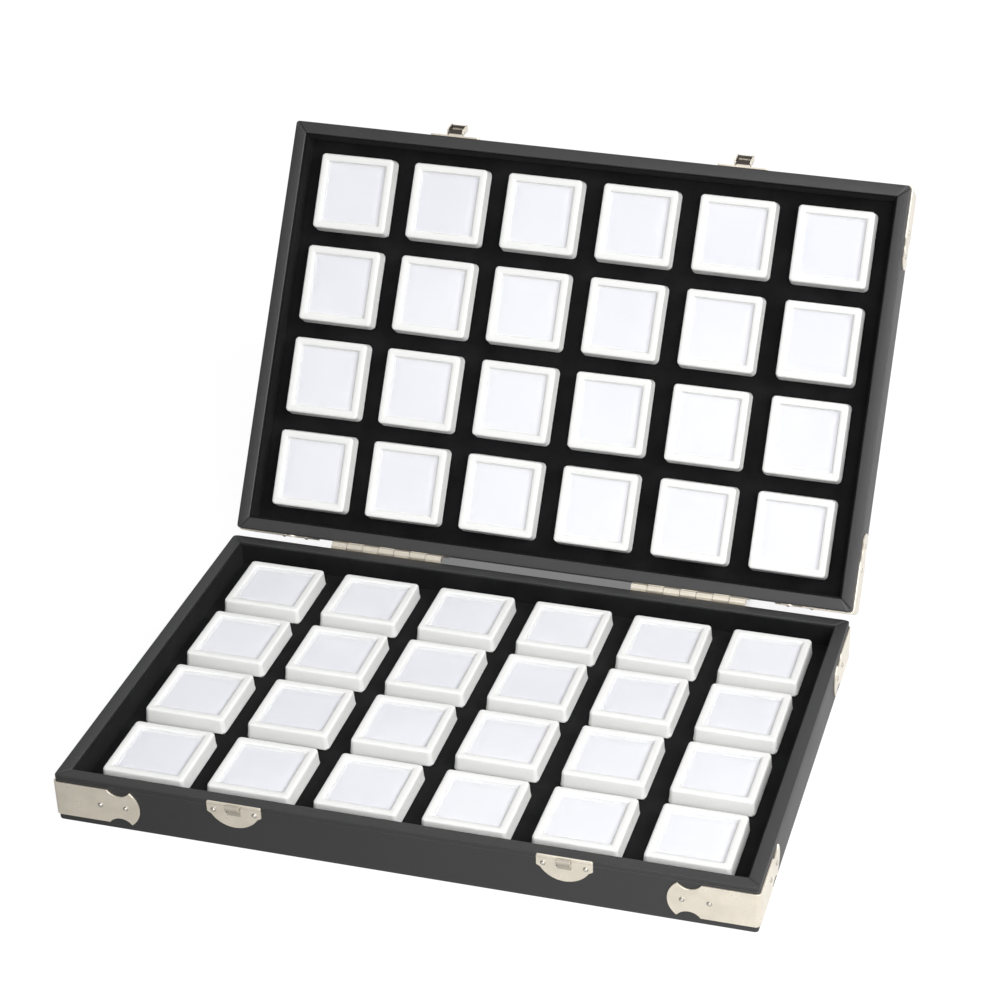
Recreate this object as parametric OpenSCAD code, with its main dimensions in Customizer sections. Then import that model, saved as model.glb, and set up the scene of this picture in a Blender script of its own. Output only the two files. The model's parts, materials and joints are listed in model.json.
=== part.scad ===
// Hinged display case in two equal halves, each holding a grid of small square specimen boxes.
// Millimetres. Origin at the centre of the underside, +X to the right, -Y to the front, +Z up.

/* [Case] */
// Outside width of both halves
case_w = 320; // [316:1:330]
// Outside depth of both halves
case_d = 212; // [208:1:220]
// Height of the lower half, underside to rim
base_h = 24.5; // [24:0.5:28]
// Height of the upper half, rim to its outer face
lid_h = 25.6; // [25:0.2:30]
// Thickness of the covered side walls
wall_t = 6; // [5.5:0.1:6.2]
// Thickness of the covered bottom and top boards
board_t = 2.4; // [2:0.1:2.4]
// Gap left between the two rims when the case is closed
seam_gap = 0.3; // [0.2:0.1:0.5]
// Angle by which the lid stands open
lid_open = 124; // [0:1:124]

/* [Padding] */
// Thickness of the lining strips on the inside of the walls
liner_t = 0.8; // [0.5:0.1:1]
// Distance of the lining's edge below the rim
liner_drop = 1.2; // [0.8:0.1:2]
// Height of the foam's surface above the base's underside
base_foam_top = 12.4; // [11:0.1:12.4]
// Depth of the foam's surface below the lid's rim
lid_foam_drop = 11.6; // [11:0.1:12]

/* [Specimen boxes] */
// Number of columns of boxes
columns = 6; // [6:1:6]
// Number of rows of boxes
rows = 4; // [4:1:4]
// Distance between columns
pitch_x = 50; // [48:0.5:50]
// Distance between rows
pitch_y = 48; // [46:0.5:48]
// Overall height of one box
box_h = 16; // [15.8:0.1:16.2]
// Width of a box lid over its foot
foot_w = 40; // [39.6:0.1:40.4]
// Width of a box lid above its foot
cap_w = 38.8; // [38.6:0.1:39]
// Width of the tray under the lid
tray_w = 37; // [36.6:0.1:37.2]
// Width of the clear window
window_w = 31; // [30:0.2:31.6]
// Height of the box tops above the base's underside
base_box_top = 20.3; // [20.2:0.1:20.5]
// Depth of the box tops below the lid's rim
lid_box_drop = 2.2; // [1.6:0.1:2.6]

/* [Metal fittings] */
// Thickness of the sheet-metal plates
plate_t = 0.8; // [0.6:0.1:0.9]
// Length of a corner guard's arm
guard_arm = 40; // [38:0.5:42]
// Half height of a corner guard
guard_half_h = 8.8; // [8.8:0.1:9.4]
// Distance of the catches and hinges from the middle of the case
latch_x = 75; // [70:0.5:80]
// Half width of a catch plate
shield_r = 12.6; // [12:0.1:13]
// Length of a hinge
hinge_w = 58; // [50:1:60]
// Distance of the hinge axis behind the rear wall
hinge_y_out = 2.4; // [2.3:0.1:2.6]
// Distance of the hinges from the middle of the case
hinge_x = 78.5; // [75:0.5:85]

/* [Hidden] */
$fn = 48;
half_w = case_w / 2;
half_d = case_d / 2;
inner_w = case_w - 2 * wall_t;
inner_d = case_d - 2 * wall_t;
foam_w = inner_w - 2 * liner_t;
foam_d = inner_d - 2 * liner_t;
lid_z = base_h + seam_gap;
lid_top = lid_z + lid_h;
fit = 0.05;
// Specimen box heights, measured from its own underside
tray_wall = 1.2;
foot_z = 8.3;
foot_h = 1.2;
tray_h = 13.6;
pad_h = 12;
pad_gap = 0.3;
cap_ceiling = tray_h + 0.2;
window_z = cap_ceiling + 0.6;
window_t = 0.9;
window_gap = 0.1;
window_ledge = 0.7;
cap_fit = 0.2;
pocket_w = tray_w + 1.2;
// Foam pockets
base_pocket_z = base_box_top - box_h;
lid_pocket_z = lid_z + lid_box_drop + box_h;
// Corner guard outline: a round-ended arm with a bite in each long edge
tip_x = 35.6 / 40 * guard_arm;
tip_run = guard_arm - tip_x;
tip_r = (guard_half_h * guard_half_h + tip_run * tip_run) / (2 * tip_run);
bite_x = 30.4 / 40 * guard_arm;
bite_r = 6.3;
bite_depth = 2.8;
guard_z = 12.3;
guard_rivets = [21.4, 33.4];
// Rivet heads
rivet_r = 1.3;
shank_r = 0.7;
// Hinge knuckles
knuckles = 7;
knuckle_r = 2.1;
knuckle_gap = 0.3;
knuckle_w = (hinge_w - (knuckles - 1) * knuckle_gap) / knuckles;
pin_r = 0.9;
leaf_h = 13;
leaf_rivets = [-22, 0, 22];
leaf_rivet_z = 8.5;
hinge_y = half_d + hinge_y_out;
hinge_z = base_h + seam_gap / 2;
// Catch plates, their hooks and the hasps
shield_z = 0.1;
shield_h = 13;
shoulder = 6;
shield_rivet_x = 9.5;
shield_rivet_z = 4.3;
hook_w = 6.4;
hook_r = 1.3;
hook_out = 2.1;
hook_drop = 1.6;
strap_t = 0.4;
strap_h = 6.2;
hasp_out = 2.8;
hasp_up = 1.9;
hasp_back = 55;
hasp_w = 8.6;
hasp_len = 6.8;
cheek_t = 0.7;
cheek_r = 1.7;
cover_z = 1;
bar_out = 6;
bar_drop = 0.6;
bar_r = 0.6;
hasp_pin_r = 0.6;
hasp_pin_w = 9.2;
lug_r = 1.2;
lug_w = 6.4;
bore_gap = 0.05;

black = [0.16, 0.16, 0.17];
velvet = [0.08, 0.08, 0.09];
nickel = [0.8, 0.76, 0.7];
white = [0.93, 0.93, 0.92];
clear = [0.85, 0.9, 0.95, 0.5];

function column_x(i) = (i - (columns - 1) / 2) * pitch_x;
function row_y(j) = (j - (rows - 1) / 2) * pitch_y;

// Turns a part drawn in the closed lid to where the open lid holds it
module in_lid() {
    translate([0, hinge_y, hinge_z])
        rotate([-lid_open, 0, 0])
            translate([0, -hinge_y, -hinge_z])
                children();
}

// Puts a copy of the children at every place of the grid
module on_grid() {
    for (i = [0 : columns - 1], j = [0 : rows - 1])
        translate([column_x(i), row_y(j), 0])
            children();
}

module rounded_square(w, r) {
    square([w - 2 * r, w], center = true);
    square([w, w - 2 * r], center = true);
    for (x = [-1, 1], y = [-1, 1])
        translate([x * (w / 2 - r), y * (w / 2 - r)])
            circle(r = r);
}

module rounded_block(w, r, z, h) {
    translate([0, 0, z])
        linear_extrude(h)
            rounded_square(w, r);
}

// Case walls, mitred at the corners, drawn from z to z + h
module long_wall(side, z, h) {
    translate([0, 0, z])
        linear_extrude(h)
            polygon([[-half_w, side * half_d], [half_w, side * half_d],
                [half_w - wall_t, side * (half_d - wall_t)], [wall_t - half_w, side * (half_d - wall_t)]]);
}

module short_wall(side, z, h) {
    translate([0, 0, z])
        linear_extrude(h)
            polygon([[side * half_w, -half_d], [side * half_w, half_d],
                [side * (half_w - wall_t), half_d - wall_t], [side * (half_w - wall_t), wall_t - half_d]]);
}

module board(z) {
    translate([-half_w, -half_d, z])
        cube([case_w, case_d, board_t]);
}

// Four lining strips that stand against the inside of the walls
module liner(z, h) {
    for (side = [-1, 1]) {
        translate([-inner_w / 2, side * (inner_d - liner_t) / 2 - liner_t / 2, z])
            cube([inner_w, liner_t, h]);
        translate([side * (inner_w - liner_t) / 2 - liner_t / 2, fit - foam_d / 2, z])
            cube([liner_t, foam_d - 2 * fit, h]);
    }
}

// Foam sheet with one square pocket for each specimen box
module foam(z, h, pocket_z, pocket_h) {
    difference() {
        translate([-foam_w / 2, -foam_d / 2, z])
            cube([foam_w, foam_d, h]);
        on_grid()
            translate([-pocket_w / 2, -pocket_w / 2, pocket_z])
                cube([pocket_w, pocket_w, pocket_h]);
    }
}

// Specimen box, in four pieces that stack up from z = 0
module gem_tray() {
    difference() {
        rounded_block(tray_w, 3, 0, tray_h);
        rounded_block(tray_w - 2 * tray_wall, 1.8, tray_wall, tray_h);
    }
}

module gem_pad() {
    rounded_block(tray_w - 2 * (tray_wall + pad_gap), 1.5, tray_wall + fit, pad_h);
}

module gem_cap() {
    difference() {
        union() {
            rounded_block(foot_w, 4.4, foot_z, foot_h);
            rounded_block(cap_w, 3.8, foot_z, box_h - foot_z);
        }
        rounded_block(tray_w + 2 * cap_fit, 3.2, foot_z - 1, cap_ceiling - foot_z + 1);
        rounded_block(window_w - 2 * window_ledge, 1, cap_ceiling - 1, box_h);
        rounded_block(window_w, 1.6, window_z, box_h);
    }
}

module gem_window() {
    rounded_block(window_w - 2 * window_gap, 1.5, window_z + fit, window_t);
}

module gem_box_pieces() {
    color(white) gem_tray();
    color("white") gem_pad();
    color(white) gem_cap();
    color(clear) gem_window();
}

module in_base(i, j) {
    translate([column_x(i), row_y(j), base_pocket_z])
        children();
}

module gem_box(i, j) {
    in_base(i, j)
        gem_box_pieces();
}

// The lid's boxes hang upside down when the case is closed
module over_lid_grid() {
    in_lid()
        on_grid()
            translate([0, 0, lid_pocket_z])
                rotate([180, 0, 0])
                    children();
}

// Rivet with its head's flat face at z = 0 and its shank below
module rivet() {
    rotate_extrude()
        polygon([[0, -plate_t], [shank_r, -plate_t], [shank_r, 0], [rivet_r, 0], [rivet_r, 0.25],
            [1.05, 0.6], [0.55, 0.85], [0, 0.95]]);
}

// Holder that turns +Z to face out of a wall: 0 front, 1 right, 2 rear, 3 left
module facing(turn) {
    rotate([0, 0, 90 * turn])
        rotate([90, 0, 0])
            children();
}

// Corner guard's arm in the XY plane, from the corner at x = 0 along +X
module guard_outline() {
    difference() {
        union() {
            translate([-plate_t, -guard_half_h])
                square([plate_t + tip_x, 2 * guard_half_h]);
            intersection() {
                translate([guard_arm - tip_r, 0])
                    circle(r = tip_r, $fn = 96);
                translate([tip_x - 1, -guard_half_h])
                    square([tip_run + 1, 2 * guard_half_h]);
            }
        }
        for (side = [-1, 1])
            translate([bite_x, side * (guard_half_h - bite_depth + bite_r)])
                circle(r = bite_r);
        for (x = guard_rivets)
            translate([x, 0])
                circle(r = shank_r + fit);
    }
}

// One guard: an arm along the front or rear wall and one along the side wall
module corner_guard(sx, sy) {
    translate([sx * half_w, sy * half_d, 0])
        scale([-sx, -sy, 1]) {
            rotate([90, 0, 0])
                linear_extrude(plate_t)
                    guard_outline();
            rotate([90, 0, 90])
                translate([0, 0, -plate_t])
                    linear_extrude(plate_t)
                        guard_outline();
        }
}

module corner_guards(z) {
    for (sx = [-1, 1], sy = [-1, 1])
        translate([0, 0, z])
            corner_guard(sx, sy);
}

module guard_rivet_set(z) {
    for (sx = [-1, 1], sy = [-1, 1], x = guard_rivets) {
        translate([sx * (half_w - x), sy * (half_d + plate_t), z])
            rotate([-90 * sy, 0, 0])
                rivet();
        translate([sx * (half_w + plate_t), sy * (half_d - x), z])
            rotate([0, 90 * sx, 0])
                rivet();
    }
}

// Shield-shaped plate in the XY plane: flat top edge at y = 0, round end below
module shield_outline() {
    difference() {
        union() {
            intersection() {
                circle(r = shield_r, $fn = 96);
                translate([-shield_r, -shield_h])
                    square([2 * shield_r, shield_h]);
            }
            translate([-shield_r, -shoulder])
                square([2 * shield_r, shoulder]);
        }
        for (side = [-1, 1])
            translate([side * shield_rivet_x, -shield_rivet_z])
                circle(r = shank_r + fit);
    }
}

module shield_rivets(x, z) {
    for (side = [-1, 1])
        translate([x + side * shield_rivet_x, -half_d - plate_t, z])
            rotate([90, 0, 0])
                rivet();
}

// Catch on the base: shield plate, upright strap and the round hook at its top
module catch_plate(side) {
    translate([side * latch_x, -half_d, base_h - shield_z]) {
        rotate([90, 0, 0])
            linear_extrude(plate_t)
                shield_outline();
        translate([-hook_w / 2, -plate_t - strap_t, -strap_h])
            cube([hook_w, strap_t, strap_h]);
        translate([-hook_w / 2, -hook_out, -hook_drop - hook_r / 2])
            cube([hook_w, hook_out - plate_t, hook_r]);
        translate([-hook_w / 2, -hook_out, -hook_drop])
            rotate([0, 90, 0])
                cylinder(r = hook_r, h = hook_w);
    }
}

// Clasp plate on the lid, with the lug that carries the hasp's pin
module clasp_plate(side) {
    translate([side * latch_x, -half_d, 0]) {
        translate([0, 0, lid_z + shield_z])
            rotate([90, 0, 0])
                linear_extrude(plate_t)
                    mirror([0, 1])
                        shield_outline();
        difference() {
            translate([-lug_w / 2, 0, base_h + hasp_up]) {
                translate([0, -hasp_out, 0])
                    rotate([0, 90, 0])
                        cylinder(r = lug_r, h = lug_w);
                translate([0, -hasp_out, -lug_r])
                    cube([lug_w, hasp_out, 2 * lug_r]);
            }
            translate([-lug_w, -hasp_out, base_h + hasp_up])
                rotate([0, 90, 0])
                    cylinder(r = hasp_pin_r + bore_gap, h = 2 * lug_w);
        }
    }
}

// Hasp fallen back over the lid's front: two cheeks, a cover and the bar that snaps under the hook
module hasp(side) {
    translate([side * latch_x, -half_d - hasp_out, base_h + hasp_up]) {
        rotate([-hasp_back, 0, 0]) difference() {
            union() {
                for (x = [-hasp_w / 2, hasp_w / 2 - cheek_t])
                    translate([x, 0, 0]) {
                        rotate([0, 90, 0])
                            cylinder(r = cheek_r, h = cheek_t);
                        translate([0, -hasp_len, -cheek_r])
                            cube([cheek_t, hasp_len, 2 * cheek_r]);
                    }
                translate([-hasp_w / 2, -hasp_len, cover_z])
                    cube([hasp_w, hasp_len - cheek_r, cheek_r - cover_z]);
                translate([-hasp_w / 2, -bar_out, -bar_drop])
                    rotate([0, 90, 0])
                        cylinder(r = bar_r, h = hasp_w);
            }
            translate([-hasp_w, 0, 0])
                rotate([0, 90, 0])
                    cylinder(r = hasp_pin_r + bore_gap, h = 2 * hasp_w);
        }
    }
}

// Hinge leaf in the closed case. up = -1 hangs on the base, up = 1 stands on the lid; first is its
// first knuckle, counted from the left, and every second one follows
module hinge_leaf(side, up, first) {
    leaf_top = seam_gap / 2 + 0.2;
    translate([side * hinge_x - hinge_w / 2, 0, hinge_z]) {
        difference() {
            union() {
                translate([0, half_d, up > 0 ? leaf_top : -leaf_h])
                    cube([hinge_w, plate_t, leaf_h - leaf_top]);
                for (i = [first : 2 : knuckles - 1])
                    translate([i * (knuckle_w + knuckle_gap), 0, 0]) {
                        translate([0, hinge_y, 0])
                            rotate([0, 90, 0])
                                cylinder(r = knuckle_r, h = knuckle_w);
                        translate([0, half_d, up > 0 ? 0 : -knuckle_r])
                            cube([knuckle_w, hinge_y_out, knuckle_r]);
                    }
            }
            translate([-1, hinge_y, 0])
                rotate([0, 90, 0])
                    cylinder(r = pin_r + bore_gap, h = hinge_w + 2);
            for (i = [1 - first : 2 : knuckles - 1])
                translate([i * (knuckle_w + knuckle_gap) - knuckle_gap, hinge_y, 0])
                    rotate([0, 90, 0])
                        cylinder(r = knuckle_r + knuckle_gap, h = knuckle_w + 2 * knuckle_gap);
            for (x = leaf_rivets)
                translate([hinge_w / 2 + x, half_d - 1, up * leaf_rivet_z])
                    rotate([-90, 0, 0])
                        cylinder(r = shank_r + fit, h = plate_t + 2);
        }
    }
}

module leaf_rivet_set(up) {
    for (side = [-1, 1], x = leaf_rivets)
        translate([side * hinge_x + x, half_d + plate_t, hinge_z + up * leaf_rivet_z])
            rotate([-90, 0, 0])
                rivet();
}

// Parts of the base
module base_bottom_panel() {
    color(black) board(0);
}

module base_front_wall() {
    color(black) long_wall(-1, board_t, base_h - board_t);
}

module base_rear_wall() {
    color(black) long_wall(1, board_t, base_h - board_t);
}

module base_left_wall() {
    color(black) short_wall(-1, board_t, base_h - board_t);
}

module base_right_wall() {
    color(black) short_wall(1, board_t, base_h - board_t);
}

module base_wall_liner() {
    color(velvet) liner(board_t, base_h - board_t - liner_drop);
}

module base_foam_tray() {
    color(velvet) foam(board_t, base_foam_top - board_t, base_pocket_z, base_h);
}

module left_catch_plate() {
    color(nickel) catch_plate(-1);
}

module right_catch_plate() {
    color(nickel) catch_plate(1);
}

module left_hinge_base_leaf() {
    color(nickel) hinge_leaf(-1, -1, 0);
}

module right_hinge_base_leaf() {
    color(nickel) hinge_leaf(1, -1, 0);
}

module hinge_pins() {
    color("gray")
        for (side = [-1, 1])
            translate([side * hinge_x - hinge_w / 2, hinge_y, hinge_z])
                rotate([0, 90, 0])
                    cylinder(r = pin_r, h = hinge_w);
}

module base_corner_guards() {
    color(nickel) corner_guards(guard_z);
}

module base_rivets() {
    color("silver") {
        guard_rivet_set(guard_z);
        leaf_rivet_set(-1);
        for (side = [-1, 1])
            shield_rivets(side * latch_x, base_h - shield_z - shield_rivet_z);
    }
}

// Parts of the lid
module lid_top_panel() {
    color(black) in_lid() board(lid_top - board_t);
}

module lid_front_wall() {
    color(black) in_lid() long_wall(-1, lid_z, lid_h - board_t);
}

module lid_rear_wall() {
    color(black) in_lid() long_wall(1, lid_z, lid_h - board_t);
}

module lid_left_wall() {
    color(black) in_lid() short_wall(-1, lid_z, lid_h - board_t);
}

module lid_right_wall() {
    color(black) in_lid() short_wall(1, lid_z, lid_h - board_t);
}

module lid_wall_liner() {
    color(velvet) in_lid() liner(lid_z + liner_drop, lid_h - board_t - liner_drop);
}

module lid_foam_tray() {
    foam_z = lid_z + lid_foam_drop;
    color(velvet)
        in_lid()
            foam(foam_z, lid_top - board_t - foam_z, foam_z - 1, lid_pocket_z - foam_z + 1);
}

module left_clasp_plate() {
    color(nickel) in_lid() clasp_plate(-1);
}

module right_clasp_plate() {
    color(nickel) in_lid() clasp_plate(1);
}

module left_hinge_lid_leaf() {
    color(nickel) in_lid() hinge_leaf(-1, 1, 1);
}

module right_hinge_lid_leaf() {
    color(nickel) in_lid() hinge_leaf(1, 1, 1);
}

module lid_corner_guards() {
    color(nickel) in_lid() corner_guards(lid_top - guard_z);
}

module lid_rivets() {
    color("silver")
        in_lid() {
            guard_rivet_set(lid_top - guard_z);
            leaf_rivet_set(1);
            for (side = [-1, 1])
                shield_rivets(side * latch_x, lid_z + shield_z + shield_rivet_z);
        }
}

module hasp_pins() {
    color("gray")
        in_lid()
            for (side = [-1, 1])
                translate([side * latch_x - hasp_pin_w / 2, -half_d - hasp_out, base_h + hasp_up])
                    rotate([0, 90, 0])
                        cylinder(r = hasp_pin_r, h = hasp_pin_w);
}

module lid_gem_box_bases() {
    color(white) over_lid_grid() gem_tray();
}

module lid_gem_box_pads() {
    color("white") over_lid_grid() gem_pad();
}

module lid_gem_box_lids() {
    color(white) over_lid_grid() gem_cap();
}

module lid_gem_box_windows() {
    color(clear) over_lid_grid() gem_window();
}

module left_hasp() {
    color(nickel) in_lid() hasp(-1);
}

module right_hasp() {
    color(nickel) in_lid() hasp(1);
}

// The front left specimen box comes apart: tray with its pad, lid and window
module gem_box_a1() {
    in_base(0, 0) {
        color(white) gem_tray();
        color("white") gem_pad();
    }
}

module gem_box_a1_lid() {
    color(white) in_base(0, 0) gem_cap();
}

module gem_box_a1_window() {
    color(clear) in_base(0, 0) gem_window();
}

base_bottom_panel();
base_front_wall();
base_rear_wall();
base_left_wall();
base_right_wall();
base_wall_liner();
base_foam_tray();
left_catch_plate();
right_catch_plate();
left_hinge_base_leaf();
right_hinge_base_leaf();
hinge_pins();
base_corner_guards();
base_rivets();
lid_top_panel();
lid_front_wall();
lid_rear_wall();
lid_left_wall();
lid_right_wall();
lid_wall_liner();
lid_foam_tray();
left_clasp_plate();
right_clasp_plate();
left_hinge_lid_leaf();
right_hinge_lid_leaf();
lid_corner_guards();
lid_rivets();
hasp_pins();
lid_gem_box_bases();
lid_gem_box_pads();
lid_gem_box_lids();
lid_gem_box_windows();
left_hasp();
right_hasp();
gem_box_a1();
gem_box_a1_lid();
gem_box_a1_window();
gem_box(0, 1);  // gem_box_a2
gem_box(0, 2);  // gem_box_a3
gem_box(0, 3);  // gem_box_a4
gem_box(1, 0);  // gem_box_b1
gem_box(1, 1);  // gem_box_b2
gem_box(1, 2);  // gem_box_b3
gem_box(1, 3);  // gem_box_b4
gem_box(2, 0);  // gem_box_c1
gem_box(2, 1);  // gem_box_c2
gem_box(2, 2);  // gem_box_c3
gem_box(2, 3);  // gem_box_c4
gem_box(3, 0);  // gem_box_d1
gem_box(3, 1);  // gem_box_d2
gem_box(3, 2);  // gem_box_d3
gem_box(3, 3);  // gem_box_d4
gem_box(4, 0);  // gem_box_e1
gem_box(4, 1);  // gem_box_e2
gem_box(4, 2);  // gem_box_e3
gem_box(4, 3);  // gem_box_e4
gem_box(5, 0);  // gem_box_f1
gem_box(5, 1);  // gem_box_f2
gem_box(5, 2);  // gem_box_f3
gem_box(5, 3);  // gem_box_f4
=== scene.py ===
import json
import math

import bmesh
import bpy
import numpy as np
from mathutils import Matrix


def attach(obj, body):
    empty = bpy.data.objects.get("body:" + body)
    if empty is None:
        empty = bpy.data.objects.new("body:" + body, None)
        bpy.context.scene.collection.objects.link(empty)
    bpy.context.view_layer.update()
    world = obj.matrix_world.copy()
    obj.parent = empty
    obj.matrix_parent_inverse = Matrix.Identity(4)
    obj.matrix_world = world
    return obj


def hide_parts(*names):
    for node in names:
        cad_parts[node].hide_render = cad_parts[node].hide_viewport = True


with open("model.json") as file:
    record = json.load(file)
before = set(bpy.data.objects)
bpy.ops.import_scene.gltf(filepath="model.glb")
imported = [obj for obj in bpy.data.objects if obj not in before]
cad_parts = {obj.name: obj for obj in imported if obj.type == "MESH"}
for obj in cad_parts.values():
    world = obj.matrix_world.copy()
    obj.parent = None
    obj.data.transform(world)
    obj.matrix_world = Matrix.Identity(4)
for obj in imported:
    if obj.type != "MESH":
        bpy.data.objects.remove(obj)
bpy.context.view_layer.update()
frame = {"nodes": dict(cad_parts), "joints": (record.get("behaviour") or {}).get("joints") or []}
mm = 0.001
print("frame loaded:", len(frame["nodes"]), "nodes")


# Places taken from the frame

jointOf = {joint["name"]: joint for joint in frame["joints"]}
hingePoint = np.array(jointOf["lid_hinge"]["pos_m"])
openAngle = math.radians(-jointOf["lid_hinge"]["range_deg"][0])


def turnAbout(points, pivot, angle):
    # turns points about the X line through the pivot; a positive angle lifts the front up and back
    y = points[..., 1] - pivot[1]
    z = points[..., 2] - pivot[2]
    turned = np.array(points, float)
    turned[..., 1] = pivot[1] + y * math.cos(angle) + z * math.sin(angle)
    turned[..., 2] = pivot[2] - y * math.sin(angle) + z * math.cos(angle)
    return turned


def nodeBox(name, inLid=False):
    # corners of a node's box; a lid node is measured in the closed case
    mesh = frame["nodes"][name].data
    points = np.zeros(len(mesh.vertices) * 3)
    mesh.vertices.foreach_get("co", points)
    points = points.reshape(-1, 3)
    if inLid:
        points = turnAbout(points, hingePoint, -openAngle)
    return points.min(axis=0), points.max(axis=0)


def nodeMiddle(name, inLid=False):
    return sum(nodeBox(name, inLid)) / 2


def underLidTop(name):
    # how far a lid node's lowest point in the closed case lies below the lid's top
    return lidTop - nodeBox(name, inLid=True)[0][2]


wallLow, wallHigh = nodeBox("base_front_wall")
lidTop = nodeBox("lid_top_panel", inLid=True)[1][2]
halfWidth = wallHigh[0]
halfDepth = -wallLow[1]
wallThick = wallHigh[1] - wallLow[1]


def placeBase(points):
    return np.array(points, float)


def placeLid(points):
    # a half drawn like the base, opening upwards, is turned over onto it and then opened
    turned = np.array(points, float)
    turned[..., 1] = -turned[..., 1]
    turned[..., 2] = lidTop - turned[..., 2]
    return turnAbout(turned, hingePoint, openAngle)


def placeClosedLid(points):
    return turnAbout(points, hingePoint, openAngle)


# The two halves, each drawn opening upwards from its outer face at z = 0
halves = {
    "base": {
        "place": placeBase,
        "rim": wallHigh[2],
        "board": wallLow[2],
        "foamTop": nodeBox("base_foam_tray")[1][2],
        "boxTop": nodeBox("gem_box_b2")[1][2],
        "liningTop": nodeBox("base_wall_liner")[1][2],
        "walls": ["front", "right", "rear", "left"],
        "boardPiece": ("base_bottom_cover", "base_bottom_panel"),
    },
    "lid": {
        "place": placeLid,
        "rim": underLidTop("lid_front_wall"),
        "board": lidTop - nodeBox("lid_front_wall", inLid=True)[1][2],
        "foamTop": underLidTop("lid_foam_tray"),
        "boxTop": underLidTop("lid_gem_box_lids"),
        "liningTop": underLidTop("lid_wall_liner"),
        "walls": ["rear", "right", "front", "left"],
        "boardPiece": ("lid_top_cover", "lid_top_panel"),
    },
}


def addObject(name, data):
    made = bpy.data.objects.new(name, data)
    bpy.context.scene.collection.objects.link(made)
    return made


def aimObject(made, directions, place):
    # directions are those of the object's X, Y and Z
    turn = np.eye(4)
    turn[:3] = np.column_stack([*directions, place])
    made.matrix_world = Matrix(turn.tolist())


# Camera, as in the photograph

cameraSet = {
    "place": (0.31455, -0.93285, 0.70826),
    "azimuth": -12.85,
    "elevation": -31.44,
    "roll": 0.93,
    "sensor": 36,
    "lens": 92.17,
    "shift": (-0.1864, 0.0415),
    "clipEnd": 50,
}


def makeCamera(s):
    azimuth, elevation, roll = (math.radians(s[k]) for k in ("azimuth", "elevation", "roll"))
    forward = np.array([math.sin(azimuth) * math.cos(elevation),
                        math.cos(azimuth) * math.cos(elevation), math.sin(elevation)])
    level = np.cross(forward, (0, 0, 1))
    level /= np.linalg.norm(level)
    upright = np.cross(level, forward)
    right = math.cos(roll) * level + math.sin(roll) * upright
    data = bpy.data.cameras.new("camera")
    data.sensor_width = s["sensor"]
    data.lens = s["lens"]
    data.shift_x, data.shift_y = s["shift"]
    data.clip_end = s["clipEnd"]
    camera = addObject("camera", data)
    aimObject(camera, (right, np.cross(right, forward), -forward), s["place"])
    bpy.context.scene.camera = camera


makeCamera(cameraSet)
print("camera placed")


# Node groups and materials

def feed(tree, node, inputs):
    # each input, by name or number, is linked to a socket or set to a value
    for key, value in inputs.items():
        if isinstance(value, bpy.types.NodeSocket):
            tree.links.new(value, node.inputs[key])
        else:
            node.inputs[key].default_value = value


def addNode(tree, kind, inputs=None, **properties):
    node = tree.nodes.new("ShaderNode" + kind)
    for key, value in properties.items():
        setattr(node, key, value)
    feed(tree, node, inputs or {})
    return node


def mathNode(tree, operation, *terms):
    return addNode(tree, "Math", dict(enumerate(terms)), operation=operation).outputs[0]


def spread(tree, source, toLow, toHigh, fromLow=0.0, fromHigh=1.0):
    return addNode(tree, "MapRange", {"Value": source, "From Min": fromLow, "From Max": fromHigh,
                                      "To Min": toLow, "To Max": toHigh}).outputs["Result"]


def blendColour(tree, factor, *colours):
    # from the first colour to the second; a colour is a socket or (red, green, blue)
    first, second = ((*c, 1) if isinstance(c, tuple) else c for c in colours)
    return addNode(tree, "Mix", {0: factor, 6: first, 7: second}, data_type="RGBA").outputs[2]


def newGroup(name, inputs, outputs):
    # inputs are defaults by name; a socket called Vector or Color is of that kind, the rest are numbers
    group = bpy.data.node_groups.new(name, "ShaderNodeTree")
    for label, way in [(label, "INPUT") for label in inputs] + [(label, "OUTPUT") for label in outputs]:
        kind = label if label in ("Vector", "Color") else "Float"
        socket = group.interface.new_socket(label, in_out=way, socket_type="NodeSocket" + kind)
        if way == "INPUT" and kind != "Vector":
            socket.default_value = inputs[label]
    return group, group.nodes.new("NodeGroupInput").outputs, group.nodes.new("NodeGroupOutput")


def noise(tree, vector, scale, detail, **more):
    return addNode(tree, "TexNoise", {"Vector": vector, "Scale": scale, "Detail": detail, **more}).outputs


def makePebbleGroup():
    # pebble grain: rounded cells with sunk seams, bent by a little noise
    group, given, sink = newGroup("pebbleGrain", {"Vector": None, "Cells": 1400.0, "Bend": 0.3 * mm},
                                  ["Height", "Seam"])
    place = given["Vector"]
    bend = noise(group, place, 700.0, 2.0)["Color"]
    centred = addNode(group, "VectorMath", {0: bend, 1: (0.5, 0.5, 0.5)}, operation="SUBTRACT")
    scaled = addNode(group, "VectorMath", {0: centred.outputs[0], "Scale": given["Bend"]},
                     operation="SCALE")
    bent = addNode(group, "VectorMath", {0: place, 1: scaled.outputs[0]}, operation="ADD")
    cells = addNode(group, "TexVoronoi", {"Vector": bent.outputs[0], "Scale": given["Cells"]},
                    feature="DISTANCE_TO_EDGE")
    pebble = spread(group, cells.outputs["Distance"], 0.0, 1.0, 0.0, 0.28)
    fine = mathNode(group, "MULTIPLY", noise(group, place, 5200.0, 3.0)["Fac"], 0.35)
    feed(group, sink, {"Height": mathNode(group, "ADD", pebble, fine),
                       "Seam": mathNode(group, "SUBTRACT", 1.0, pebble)})
    return group


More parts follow.
